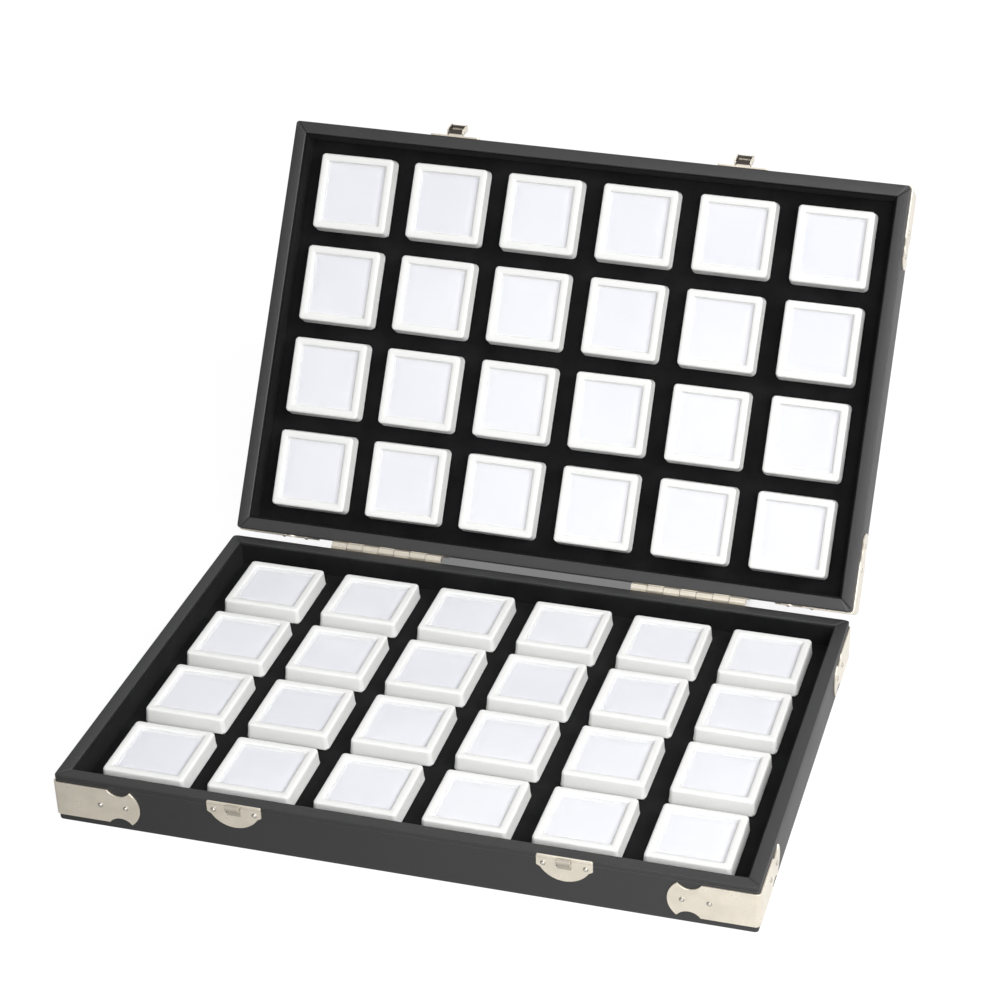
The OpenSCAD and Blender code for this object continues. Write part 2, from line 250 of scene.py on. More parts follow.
def makePatchGroup():
    # broad uneven patches, for handling marks and slow changes of tone
    group, given, sink = newGroup("softPatches", {"Vector": None, "Scale": 20.0, "Contrast": 0.5}, ["Mask"])
    cloud = noise(group, given["Vector"], given["Scale"], 4.0, Roughness=0.6)["Fac"]
    centred = mathNode(group, "SUBTRACT", cloud, 0.5)
    strong = mathNode(group, "MULTIPLY", centred, mathNode(group, "MULTIPLY", given["Contrast"], 4.0))
    clamped = addNode(group, "Clamp", {0: mathNode(group, "ADD", strong, 0.5)})
    feed(group, sink, {"Mask": clamped.outputs[0]})
    return group


def makeSpeckGroup():
    # a few round specks: lint on pile, pits in plating
    group, given, sink = newGroup("specks", {"Vector": None, "Spacing": 45.0, "Size": 0.02, "Share": 0.3},
                                  ["Mask"])
    cells = addNode(group, "TexVoronoi", {"Vector": given["Vector"], "Scale": given["Spacing"]}).outputs
    near = mathNode(group, "LESS_THAN", cells["Distance"], given["Size"])
    tone = addNode(group, "SeparateColor", {0: cells["Color"]}).outputs[0]
    chosen = mathNode(group, "LESS_THAN", tone, given["Share"])
    feed(group, sink, {"Mask": mathNode(group, "MULTIPLY", near, chosen)})
    return group


def makeFibreGroup():
    # short pile or foam cells: fine tangled height with a soft tone change
    group, given, sink = newGroup("fibres", {"Vector": None, "Scale": 2600.0}, ["Height", "Tone"])
    fine = noise(group, given["Vector"], given["Scale"], 5.0, Distortion=1.5)["Fac"]
    broad = noise(group, given["Vector"], 55.0, 3.0)["Fac"]
    feed(group, sink, {"Height": fine, "Tone": mathNode(group, "MULTIPLY", fine, broad)})
    return group


def makePaintedShadeGroup():
    # the mesh's painted shade from 0 to 1 turns bright metal into dull dark brown, as painted shade and
    # painted dark reflection in hollows and crevices
    group, given, sink = newGroup("creviceGrime", {"Color": (0.7, 0.7, 0.7, 1), "Roughness": 0.3},
                                  ["Color", "Metallic", "Roughness"])
    amount = addNode(group, "Attribute", attribute_name="grime").outputs["Fac"]
    dull = mathNode(group, "MULTIPLY", amount, 0.3)
    feed(group, sink, {"Color": blendColour(group, amount, given["Color"], (0.03, 0.022, 0.016)),
                       "Metallic": spread(group, amount, 0.68, 0.0, 0.3, 1.0),
                       "Roughness": mathNode(group, "ADD", given["Roughness"], dull)})
    return group


pebbleGroup = makePebbleGroup()
patchGroup = makePatchGroup()
speckGroup = makeSpeckGroup()
fibreGroup = makeFibreGroup()
# group for painted shade on metal, read from the mesh's attribute
paintedShadeGroup = makePaintedShadeGroup()


def useGroup(tree, group, vector, **values):
    return addNode(tree, "Group", {"Vector": vector, **values}, node_tree=group).outputs


def usePatches(tree, vector, scale, contrast):
    return useGroup(tree, patchGroup, vector, Scale=scale, Contrast=contrast)["Mask"]


def newMaterial(name):
    material = bpy.data.materials.new(name)
    material.use_nodes = True
    tree = material.node_tree
    return material, tree, tree.nodes["Principled BSDF"], addNode(tree, "TexCoord").outputs["Object"]


def bumpOf(tree, height, strength, distance):
    return addNode(tree, "Bump", {"Height": height, "Strength": strength,
                                  "Distance": distance}).outputs["Normal"]


leatherSet = {
    "dark": (0.008, 0.008, 0.0085),
    "pale": (0.017, 0.017, 0.0175),
    "seam": (0.012, 0.012, 0.013),
    "seamShare": 0.45,
    "cells": 1350.0,
    "patches": (14.0, 0.5),
    "roughness": (0.44, 0.58),
    "specular": 0.72,
    "bump": (0.35, 0.12 * mm),
}


def makeLeatherette(name, s):
    material, tree, shader, place = newMaterial(name)
    grain = useGroup(tree, pebbleGroup, place, Cells=s["cells"])
    patches = usePatches(tree, place, *s["patches"])
    tone = blendColour(tree, patches, s["dark"], s["pale"])
    sunk = mathNode(tree, "MULTIPLY", grain["Seam"], s["seamShare"])
    feed(tree, shader, {"Base Color": blendColour(tree, sunk, tone, s["seam"]),
                        "Roughness": spread(tree, patches, *s["roughness"]),
                        "Specular IOR Level": s["specular"],
                        "Normal": bumpOf(tree, grain["Height"], *s["bump"])})
    return material


pileSet = {
    "dark": (0.0045, 0.0045, 0.005),
    "pale": (0.0125, 0.0125, 0.0135),
    "toneFrom": (0.12, 0.4),
    "lint": (0.35, 0.35, 0.36),
    "specks": {"Spacing": 55.0, "Size": 0.017, "Share": 0.4},
    "shader": {"Roughness": 0.95, "Specular IOR Level": 0.15, "Sheen Weight": 0.04, "Sheen Roughness": 0.4},
    "bump": (0.5, 0.3 * mm),
}


def makePile(name, s, fibreScale):
    material, tree, shader, place = newMaterial(name)
    fibres = useGroup(tree, fibreGroup, place, Scale=fibreScale)
    lint = useGroup(tree, speckGroup, place, **s["specks"])["Mask"]
    tone = blendColour(tree, spread(tree, fibres["Tone"], 0.0, 1.0, *s["toneFrom"]), s["dark"], s["pale"])
    feed(tree, shader, {"Base Color": blendColour(tree, lint, tone, s["lint"]),
                        "Normal": bumpOf(tree, fibres["Height"], *s["bump"]), **s["shader"]})
    return material


plasticSet = {
    "tones": ((0.85, 0.85, 0.835), (0.90, 0.90, 0.885)),
    "patches": (38.0, 0.35),
    "finePatches": (900.0, 0.5),
    "roughness": (0.24, 0.38),
    "bump": (0.08, 0.3 * mm),
}


def makeWhitePlastic(name, s):
    material, tree, shader, place = newMaterial(name)
    patches = usePatches(tree, place, *s["patches"])
    fine = usePatches(tree, place, *s["finePatches"])
    feed(tree, shader, {"Base Color": blendColour(tree, patches, *s["tones"]),
                        "Roughness": spread(tree, fine, *s["roughness"]),
                        "Normal": bumpOf(tree, patches, *s["bump"])})
    return material


padSet = {
    "tones": ((0.85, 0.85, 0.885), (0.92, 0.92, 0.935)),
    "patches": (9.0, 0.9),
    "fibres": 1500.0,
    "roughness": 0.9,
    "bump": (0.25, 0.2 * mm),
}


def makePadFoam(name, s):
    material, tree, shader, place = newMaterial(name)
    fibres = useGroup(tree, fibreGroup, place, Scale=s["fibres"])
    patches = usePatches(tree, place, *s["patches"])
    feed(tree, shader, {"Base Color": blendColour(tree, patches, *s["tones"]),
                        "Roughness": s["roughness"],
                        "Normal": bumpOf(tree, fibres["Height"], *s["bump"])})
    return material


windowSet = {"tone": (0.9, 0.91, 0.97, 1), "alpha": 0.14, "patches": (60.0, 0.6), "roughness": (0.05, 0.12)}


def makeWindow(name, s):
    material, tree, shader, place = newMaterial(name)
    patches = usePatches(tree, place, *s["patches"])
    feed(tree, shader, {"Base Color": s["tone"], "Alpha": s["alpha"], "IOR": 1.5,
                        "Roughness": spread(tree, patches, *s["roughness"])})
    material.surface_render_method = "BLENDED"
    return material


nickelSet = {
    "patches": (110.0, 0.5),
    "rollStretch": (0.15, 0.15, 1.0),
    "rollMarks": (3000.0, 0.6),
    "pits": {"Spacing": 420.0, "Size": 0.11, "Share": 0.25},
    "pitShare": 0.2,
    "pitTint": 0.45,
    "dullTint": 0.82,
    "roughSpread": (-0.06, 0.08),
    "bump": (0.06, 0.05 * mm),
}


def makeNickel(name, tint, roughness):
    s = nickelSet
    material, tree, shader, place = newMaterial(name)
    patches = usePatches(tree, place, *s["patches"])
    stretched = addNode(tree, "Mapping", {"Vector": place, "Scale": s["rollStretch"]}).outputs["Vector"]
    rolled = usePatches(tree, stretched, *s["rollMarks"])
    pits = useGroup(tree, speckGroup, place, **s["pits"])["Mask"]
    tone = blendColour(tree, patches, tint, tuple(s["dullTint"] * c for c in tint))
    pitted = mathNode(tree, "MULTIPLY", pits, s["pitShare"])
    worn = blendColour(tree, pitted, tone, tuple(s["pitTint"] * c for c in tint))
    grain = mathNode(tree, "ADD", *(mathNode(tree, "MULTIPLY", mask, 0.5) for mask in (rolled, patches)))
    rough = spread(tree, grain, *(roughness + r for r in s["roughSpread"]))
    # painted shade and painted dark reflection from the mesh's attribute
    shaded = addNode(tree, "Group", {"Color": worn, "Roughness": rough}, node_tree=paintedShadeGroup).outputs
    feed(tree, shader, {"Base Color": shaded["Color"], "Metallic": shaded["Metallic"],
                        "Roughness": shaded["Roughness"],
                        "Normal": bumpOf(tree, rolled, *s["bump"])})
    return material


# Materials by slot; the pins' one is for nodes that keep the frame's shape
looks = {
    "leatherette": makeLeatherette("black leatherette", leatherSet),
    "velvet": makePile("black velvet", pileSet, 2600.0),
    "foam": makePile("black flocked foam", pileSet, 1800.0),
    "box_plastic": makeWhitePlastic("white plastic", plasticSet),
    "pad": makePadFoam("white foam pad", padSet),
    "clear_window": makeWindow("clear window", windowSet),
    "nickel": makeNickel("nickel plate", (0.89, 0.82, 0.695), 0.3),
    "rivet": makeNickel("rivet nickel", (0.74, 0.70, 0.63), 0.22),
    "pins": makeNickel("pin steel", (0.56, 0.56, 0.56), 0.3),
}
print("materials made")


# Mesh building

def ringShape(rings, closed=False):
    # quads between rings of points; closed joins the last ring to the first, else the ends get faces
    rows, columns = rings.shape[:2]
    i, j = np.meshgrid(np.arange(rows if closed else rows - 1), np.arange(columns), indexing="ij")
    row, nextRow, nextColumn = i * columns, (i + 1) % rows * columns, (j + 1) % columns
    quads = np.stack([row + j, row + nextColumn, nextRow + nextColumn, nextRow + j], axis=-1)
    faces = quads.reshape(-1, 4).tolist()
    if not closed:
        faces.append(list(range(columns))[::-1])
        faces.append(list(range((rows - 1) * columns, rows * columns)))
    return rings.reshape(-1, 3), faces


def joinShapes(shapes):
    # shapes are (points, faces), with or without grime; returns them as one
    points, faces, count = [], [], 0
    for shapePoints, shapeFaces, *_ in shapes:
        points.append(shapePoints)
        faces += [[v + count for v in face] for face in shapeFaces]
        count += len(shapePoints)
    if len(shapes[0]) > 2:
        return np.concatenate(points), faces, np.concatenate([shape[2] for shape in shapes])
    return np.concatenate(points), faces


def placed(shape, place):
    return place(shape[0]), *shape[1:]


pieceSet = {"mergeWithin": 0.002 * mm, "bevelAbove": 38}


def addPiece(name, shape, body, node, slotName, bevel=0.0, bevelSteps=2, sharp=35):
    # the shape's painted shade, where given, is a number for each point or face: 0 none, 1 dark as shade in
    # a crevice
    points, faces, *grime = shape
    mesh = bpy.data.meshes.new(name)
    mesh.from_pydata(points.tolist(), [], faces)
    if grime:
        domain = "POINT" if len(grime[0]) == len(points) else "FACE"
        layer = mesh.attributes.new("grime", "FLOAT", domain)
        layer.data.foreach_set("value", np.asarray(grime[0], np.float32))
    work = bmesh.new()
    work.from_mesh(mesh)
    bmesh.ops.remove_doubles(work, verts=work.verts, dist=pieceSet["mergeWithin"])
    bmesh.ops.recalc_face_normals(work, faces=work.faces)
    work.to_mesh(mesh)
    work.free()
    mesh.polygons.foreach_set("use_smooth", np.ones(len(mesh.polygons), bool))
    mesh.set_sharp_from_angle(angle=math.radians(sharp))
    mesh.materials.append(looks[slotName])
    piece = addObject(name, mesh)
    if bevel > 0:
        edge = piece.modifiers.new("edges", "BEVEL")
        edge.width = bevel
        edge.segments = bevelSteps
        edge.limit_method = "ANGLE"
        edge.angle_limit = math.radians(pieceSet["bevelAbove"])
        edge.harden_normals = True
    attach(piece, body)
    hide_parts(node)
    return piece


def arcPoints(centre, radius, start, end, steps):
    # points on an arc, with angles in degrees
    angle = np.radians(np.linspace(start, end, steps))
    return np.stack([centre[0] + radius * np.cos(angle), centre[1] + radius * np.sin(angle)], axis=-1)


def roundedRings(halfX, halfY, corner, height, steps=6):
    # one rounded rectangle for each entry of the lists
    halfX, halfY, corner, height = (np.asarray(v, float)[:, None] for v in (halfX, halfY, corner, height))
    angle = np.radians(np.repeat([0, 90, 180, 270], steps) + np.tile(np.linspace(0, 90, steps), 4))
    x = np.repeat([1, -1, -1, 1], steps) * (halfX - corner) + corner * np.cos(angle)
    y = np.repeat([1, 1, -1, -1], steps) * (halfY - corner) + corner * np.sin(angle)
    return np.stack([x, y, height + 0 * angle], axis=-1)


def prism(outline, low, high, axes=(0, 1, 2)):
    # a flat outline drawn out from low to high; axes name the two outline axes and the depth axis
    rings = np.zeros((2, len(outline), 3))
    rings[:, :, axes[0]] = outline[:, 0]
    rings[:, :, axes[1]] = outline[:, 1]
    rings[:, :, axes[2]] = np.array([[low], [high]])
    return ringShape(rings)


# Walls: a profile carried along each side, round the corner as far as the mitre

wallSet = {
    "cornerRadius": 1.6 * mm,
    "lip": 2.5 * mm,
    "groove": 0.32 * mm,
    "grooveHalf": 0.45 * mm,
    "outerRound": 0.5 * mm,
    "innerRound": 0.5 * mm,
    "crease": 0.28 * mm,
    "creaseWidth": 0.32 * mm,
    "creaseHeight": 0.4 * mm,
    "fromMitre": np.array([0, 0.1, 0.2, 0.35, 0.6, 1.0, 2.0, 5.0, 15.0, 40.0]) * mm,
}


def carryAlongWall(profile, side, creaseDepth=0.0):
    # profile is (inset, height), a closed loop. The outer stretch of the path turns 45 degrees about
    # the corner's centre, and what lies deeper than the corner's radius runs straight to the mitre
    halfRun, halfOut = (halfWidth, halfDepth) if side % 2 == 0 else (halfDepth, halfWidth)
    inset, height = profile[:, 0], profile[:, 1]
    corner, fromMitre = wallSet["cornerRadius"], wallSet["fromMitre"]
    reach = halfRun - np.maximum(inset, corner)
    radius = np.maximum(corner - inset, 0)
    turn = np.radians(np.linspace(45, 0, 6))[:-1]
    arcRun = reach + radius * np.sin(turn)[:, None]
    arcOut = halfOut - np.maximum(inset, corner) + radius * np.cos(turn)[:, None]
    straightRun = reach - fromMitre[:, None]
    straightOut = np.broadcast_to(halfOut - inset, straightRun.shape)
    run = np.concatenate([arcRun, straightRun])
    out = np.concatenate([arcOut, straightOut])
    drop = np.concatenate([np.ones(len(turn)), np.exp(-(fromMitre / wallSet["creaseWidth"]) ** 2)])
    rimShare = np.clip((height - height.max()) / wallSet["creaseHeight"] + 1, 0, 1)
    z = height - creaseDepth * drop[:, None] * rimShare
    rings = np.stack([np.concatenate([run, -run[::-1]]), -np.concatenate([out, out[::-1]]),
                      np.concatenate([z, z[::-1]])], axis=-1)
    for _ in range(side):
        rings = np.stack([-rings[..., 1], rings[..., 0], rings[..., 2]], axis=-1)
    return ringShape(rings)


def wallProfile(low, rim):
    # up the outer face, over the rolled lip and the rim, and down the inner face
    s = wallSet
    groove = rim - s["lip"]
    parts = [
        [[0, low], [0, groove - 1.6 * s["grooveHalf"]]],
        [[0.25 * s["groove"], groove - 0.8 * s["grooveHalf"]], [s["groove"], groove]],
        [[0.3 * s["groove"], groove + 0.8 * s["grooveHalf"]], [0, groove + 1.7 * s["grooveHalf"]]],
        arcPoints((s["outerRound"], rim - s["outerRound"]), s["outerRound"], 180, 90, 6),
        arcPoints((wallThick - s["innerRound"], rim - s["innerRound"]), s["innerRound"], 90, 0, 5),
        [[wallThick, low]],
    ]
    return np.concatenate([np.array(part, float) for part in parts])


def addWalls(body, half):
    for side, wallName in enumerate(half["walls"]):
        shape = carryAlongWall(wallProfile(half["board"], half["rim"]), side, wallSet["crease"])
        addPiece(f"{body}_{wallName}_wall_cover", placed(shape, half["place"]), body,
                 f"{body}_{wallName}_wall", "leatherette")


boardSet = {"edge": 0.8 * mm, "insets": [1, 0.45, 0.12, 0, 0], "heights": [0, 0.1, 0.45, 1]}


def addBoard(body, half):
    # the outer board, with its outer edge rounded over
    inset = boardSet["edge"] * np.array(boardSet["insets"])
    height = [*(boardSet["edge"] * np.array(boardSet["heights"])), half["board"]]
    rings = roundedRings(halfWidth - inset, halfDepth - inset,
                         np.full(len(inset), wallSet["cornerRadius"]), height, steps=7)
    pieceName, node = half["boardPiece"]
    addPiece(pieceName, placed(ringShape(rings), half["place"]), body, node, "leatherette")


for bodyName, half in halves.items():
    addWalls(bodyName, half)
for bodyName, half in halves.items():
    addBoard(bodyName, half)
print("covered walls and boards made")


# Lining strips and foam sheets

liningThick = nodeBox("base_wall_liner")[1][0] - nodeBox("base_foam_tray")[1][0]
liningRoll = 0.45 * liningThick


def addLining(body, half):
    # upright strips with a rounded upper edge
    inner, top = wallThick + liningThick, half["liningTop"] - liningRoll
    profile = np.concatenate([
        [[wallThick, half["board"]]],
        arcPoints((wallThick + liningRoll, top), liningRoll, 180, 90, 4),
        arcPoints((inner - liningRoll, top), liningRoll, 90, 0, 4),
        [[inner, half["board"]]],
    ])
    shape = joinShapes([carryAlongWall(profile, side) for side in range(4)])
    addPiece(f"{body}_velvet_lining", placed(shape, half["place"]), body, f"{body}_wall_liner", "velvet")


# The grid of specimen boxes, as the frame has it
boxLetters = "abcdef"
boxNumbers = (1, 2, 3, 4)
columnPlaces = [nodeMiddle(f"gem_box_{letter}1")[0] for letter in boxLetters]
rowPlaces = [nodeMiddle(f"gem_box_a{number}")[1] for number in boxNumbers]
trayHalf = np.ptp(nodeBox("gem_box_a1"), axis=0)[0] / 2
boxHeight = np.ptp(nodeBox("gem_box_b2"), axis=0)[2]
foamSet = {"slack": 0.6 * mm, "edge": 0.5 * mm}


def gridLines(outside, places):
    # the sheet's two edges within the lining, and the edges of its pockets
    reach = outside - wallThick - liningThick
    pocket = trayHalf + foamSet["slack"]
    return np.sort([-reach, reach] + [c + side * pocket for c in places for side in (-1, 1)])


def foamSheet(half, floor):
    # a sheet on a grid of lines, with its pocket cells sunk to the floor
    linesX, linesY = gridLines(halfWidth, columnPlaces), gridLines(halfDepth, rowPlaces)
    shapes = []
    top, bottom = half["foamTop"], half["board"]
    level = np.full((len(linesX) - 1, len(linesY) - 1), top)
    level[1::2, 1::2] = floor
    for i in range(level.shape[0]):
        for j in range(level.shape[1]):
            x0, x1, y0, y1, z = linesX[i], linesX[i + 1], linesY[j], linesY[j + 1], level[i, j]
            corners = np.array([[x0, y0, z], [x1, y0, z], [x1, y1, z], [x0, y1, z]])
            under = corners * (1, 1, 0) + (0, 0, bottom)
            shapes.append((corners, [[0, 1, 2, 3]]))
            shapes.append((under, [[3, 2, 1, 0]]))
            for k, (di, dj) in enumerate([(0, -1), (1, 0), (0, 1), (-1, 0)]):
                inside = 0 <= i + di < level.shape[0] and 0 <= j + dj < level.shape[1]
                other = level[i + di, j + dj] if inside else bottom
                if other < z:
                    a, b = corners[k], corners[(k + 1) % 4]
                    wall = np.array([a, b, [b[0], b[1], other], [a[0], a[1], other]])
                    shapes.append((wall, [[1, 0, 3, 2]]))
    return joinShapes(shapes)


def addFoam(body, half, floor):
    piece = addPiece(f"{body}_foam_sheet", placed(foamSheet(half, floor), half["place"]), body,
                     f"{body}_foam_tray", "foam", bevel=foamSet["edge"], bevelSteps=3)


for bodyName, half in halves.items():
    addLining(bodyName, half)
    addFoam(bodyName, half, half["boxTop"] - boxHeight)
print("lining and foam made")


# Specimen boxes, drawn from z = 0 at the tray's underside

boxSet = {
    "trayWall": 1.2 * mm,
    "trayHeight": 13.6 * mm,
    "trayCorner": 3.0 * mm,
    "traySoft": 0.25 * mm,
    "capFoot": 20.0 * mm,
    "capShoulder": 19.35 * mm,
    "capSkirt": 18.7 * mm,
    "capCorner": 2.0 * mm,
    "capRoll": 1.1 * mm,
    "windowCorner": 0.6 * mm,
    "footHeight": 8.3 * mm,
    "ceiling": 13.8 * mm,
    "windowHalf": 15.5 * mm,
    "ledge": 0.7 * mm,
    "ledgeThick": 0.6 * mm,
    "windowGap": 0.1 * mm,
    "windowHeight": 14.45 * mm,
    "windowThick": 0.9 * mm,
    "windowSoft": 0.08 * mm,
    "padGap": 0.3 * mm,
    "padLift": 0.05 * mm,
    "padHeight": 12.3 * mm,
    "padCrown": 0.75 * mm,
    "padCorner": 1.5 * mm,
    "turnSpread": 0.35,
    "shiftSpread": 0.12 * mm,
}
# Curves in mm: the frame out from the window and down from the top, and the foot from its widest point
frameCurve = np.array([(0, -0.55), (0.12, -0.3), (0.4, -0.14), (1.1, -0.03), (1.9, 0)]) * mm
footCurve = np.array([(-0.12, 1.2), (0, 0.6), (-0.1, 0.2), (-0.35, 0)]) * mm


def squareShape(half, corner, height, closed=False, steps=6):
    return ringShape(roundedRings(half, half, corner, height, steps), closed)


def trayShape(s):
    # up the outside, over the rim and down the inside to the floor
    outer, top, wall, soft = trayHalf, s["trayHeight"], s["trayWall"], s["traySoft"]
    half = [outer - soft, outer, outer, outer - soft, outer - wall + soft, outer - wall, outer - wall,
            outer - wall - soft]
    height = [0, soft, top - soft, top, top, top - soft, wall + soft, wall]
    return squareShape(half, s["trayCorner"] - (outer - np.array(half)), height)


def capShape(s):
    # inside of the skirt, window ledge, crowned frame, rounded shoulder and flared side
    shoulder, top, roll, low = s["capShoulder"], boxHeight, s["capRoll"], s["footHeight"]
    ledge, seat = s["windowHalf"] - s["ledge"], s["ceiling"] + s["ledgeThick"]
    profile = np.concatenate([
        [[s["capSkirt"], low], [s["capSkirt"], s["ceiling"]], [ledge, s["ceiling"]], [ledge, seat],
         [s["windowHalf"], seat]],
        frameCurve + (s["windowHalf"], top),
        arcPoints((shoulder - roll, top - roll), roll, 80, 8, 6),
        [[shoulder + 0.12 * mm, top - 2.6 * mm], [shoulder + 0.3 * mm, low + 2.6 * mm]],
        footCurve + (s["capFoot"], low),
    ])
    corner = np.maximum(s["windowCorner"], profile[:, 0] - shoulder + s["capCorner"])
    return squareShape(profile[:, 0], corner, profile[:, 1], closed=True, steps=8)


def padShape(s):
    # straight sides and a top that swells towards its middle
    outer = trayHalf - s["trayWall"] - s["padGap"]
    low = s["trayWall"] + s["padLift"]
    top = low + s["padHeight"]
    crown = top + s["padCrown"]
    half = [outer - 0.3 * mm, outer, outer, outer - 0.15 * mm, outer - 0.6 * mm, outer - 1.6 * mm,
            outer - 3.0 * mm, 0.6 * outer, 0.25 * outer]
    height = [low, low + 0.3 * mm, top - 0.8 * mm, top - 0.35 * mm, top - 0.12 * mm, top,
              crown - 0.15 * mm, crown, crown]
    return squareShape(half, np.minimum(s["padCorner"], 0.4 * np.array(half)), height)


def windowShape(s):
    outer, low, soft = s["windowHalf"] - s["windowGap"], s["windowHeight"], s["windowSoft"]
    high = low + s["windowThick"]
    return squareShape([outer - soft, outer, outer, outer - soft], [s["windowCorner"]] * 4,
                       [low, low + soft, high - soft, high])


boxParts = {
    "tray": (trayShape(boxSet), "box_plastic"),
    "pad": (padShape(boxSet), "pad"),
    "cap": (capShape(boxSet), "box_plastic"),
    "window": (windowShape(boxSet), "clear_window"),
}
randomness = np.random.default_rng(7)


def boxPlacing(column, row, top):
    # a box sits a little turned and off centre in its pocket
    turn = math.radians(randomness.uniform(-1, 1) * boxSet["turnSpread"])
    shift = randomness.uniform(-1, 1, 2) * boxSet["shiftSpread"]

    def place(points):
        x = points[:, 0] * math.cos(turn) - points[:, 1] * math.sin(turn)
        y = points[:, 0] * math.sin(turn) + points[:, 1] * math.cos(turn)
        return np.stack([x + columnPlaces[column] + shift[0], y + rowPlaces[row] + shift[1],
                         points[:, 2] + top - boxHeight], axis=-1)
    return place


def addBoxPart(part, name, shape, body, node):
    piece = addPiece(name, shape, body, node, boxParts[part][1])


def addBaseBoxes():
    for column, letter in enumerate(boxLetters):
        for row, number in enumerate(boxNumbers):
            boxName = f"gem_box_{letter}{number}"
            place = boxPlacing(column, row, halves["base"]["boxTop"])
            comesApart = f"{boxName}_lid" in frame["nodes"]
            for part, (shape, _) in boxParts.items():
                upper = comesApart and part in ("cap", "window")
                body = f"{boxName}_lid" if upper else boxName
                node = f"{boxName}_window" if upper and part == "window" else body
                addBoxPart(part, f"{part}_{letter}{number}", placed(shape, place), body, node)


def addLidBoxes():
    placings = [boxPlacing(column, row, halves["lid"]["boxTop"])
                for column in range(len(boxLetters)) for row in range(len(boxNumbers))]
    nodeOf = {"tray": "bases", "pad": "pads", "cap": "lids", "window": "windows"}
    for part, (shape, _) in boxParts.items():
        joined = joinShapes([placed(shape, place) for place in placings])
        addBoxPart(part, f"lid_box_{part}s", placed(joined, placeLid), "lid",
                   f"lid_gem_box_{nodeOf[part]}")


addBaseBoxes()
addLidBoxes()
print("specimen boxes made")


# Corner guards

guardSet = {
    "plate": 0.8 * mm,
    "arm": 40 * mm,
    "halfHeight": 8.8 * mm,
    "tipStart": 35.6 * mm,
    "biteAt": 30.4 * mm,
    "biteRadius": 6.3 * mm,
    "biteDepth": 2.8 * mm,
    "rivets": (21.4 * mm, 33.4 * mm),
    "bevel": 0.22 * mm,
}
plate = guardSet["plate"]
quarterRun = wallSet["cornerRadius"] * math.pi / 4


def guardOutline(s):
    # one half of the outline, from the corner at 0 out to the tip
    h, tip, arm = s["halfHeight"], s["tipStart"], s["arm"]
    tipRadius = (h * h + (arm - tip) ** 2) / (2 * (arm - tip))
    sweep = math.degrees(math.asin(h / tipRadius))
    biteCentre = h - s["biteDepth"] + s["biteRadius"]
    cornerAngle = math.degrees(math.asin((s["biteRadius"] - s["biteDepth"]) / s["biteRadius"]))
    lower = arcPoints((s["biteAt"], -biteCentre), s["biteRadius"], 180 - cornerAngle, cornerAngle, 15)
    endArc = arcPoints((arm - tipRadius, 0), tipRadius, -sweep, sweep, 25)
    upper = arcPoints((s["biteAt"], biteCentre), s["biteRadius"], -cornerAngle, cornerAngle - 180, 15)
    return np.concatenate([lower, endArc[1:-1], upper])


def guardMiddle(body):
    # height of the guards' middle in the closed case
    return nodeMiddle(f"{body}_corner_guards", inLid=body == "lid")[2]


def bendRoundCorner(points):
    # x is the distance along the strip from the corner's middle, y the height above the leather;
    # the strip turns a quarter round the corner's radius and runs straight along both walls
    radius = wallSet["cornerRadius"]
    along, out = points[:, 0], points[:, 1]
    heading = math.pi / 4 - np.clip(along / radius, -math.pi / 4, math.pi / 4)
    beyond = np.sign(along) * np.maximum(np.abs(along) - quarterRun, 0)
    x = (radius + out) * np.cos(heading) + np.minimum(beyond, 0)
    y = (radius + out) * np.sin(heading) - np.maximum(beyond, 0)
    return np.stack([x + halfWidth - radius, y + halfDepth - radius, points[:, 2]], axis=-1)


def guardShape(s):
    # the flat strip, both halves in one, is cut across where it bends
    half = guardOutline(s) - (wallSet["cornerRadius"] - quarterRun, 0)
    points, faces = prism(np.concatenate([half, half[::-1] * (-1, 1)]), 0, s["plate"], axes=(0, 2, 1))
    work = bmesh.new()
    made = [work.verts.new(p) for p in points]
    for face in faces:
        work.faces.new([made[v] for v in face])
    for cut in np.linspace(-1.02, 1.02, 11) * quarterRun:
        everything = work.verts[:] + work.edges[:] + work.faces[:]
        bmesh.ops.bisect_plane(work, geom=everything, plane_co=(cut, 0, 0), plane_no=(1, 0, 0))
    work.verts.index_update()
    points = np.array([v.co[:] for v in work.verts])
    faces = [[v.index for v in face.verts] for face in work.faces]
    work.free()
    return bendRoundCorner(points), faces


def addGuards(body, half):
    points, faces = guardShape(guardSet)
    middle = guardMiddle(body)
    points = points + (0, 0, middle if body == "base" else lidTop - middle)
    shapes = [(points * (sx, sy, 1), faces) for sx in (-1, 1) for sy in (-1, 1)]
    addPiece(f"{body}_guards", placed(joinShapes(shapes), half["place"]), body, f"{body}_corner_guards",
             "nickel", bevel=guardSet["bevel"])


for bodyName, half in halves.items():
    addGuards(bodyName, half)
print("corner guards made")


# Rivets

rivetSet = {
    "head": 1.3 * mm,
    "domeShare": 0.68,
    "dome": 0.62 * mm,
    "domeLift": 0.04 * mm,
    # painted shade on the dome, strongest at its foot
    "domeGrime": [1.0, 0.3, 0.0, 0.0, 0.0, 0.0],
    # share of the head's radius, height and painted shade, from the sunk rim in to the groove
    "skirt": [(1.05, -0.1 * mm, 0.6), (1.05, 0.03 * mm, 0.5), (0.95, 0.16 * mm, 0.1),
              (0.84, 0.17 * mm, 0.15), (0.76, 0.05 * mm, 1.0)],
    # angle of the side that gets the most painted shade, away from the light
    "darkSide": 150,
    "turns": 20,
}


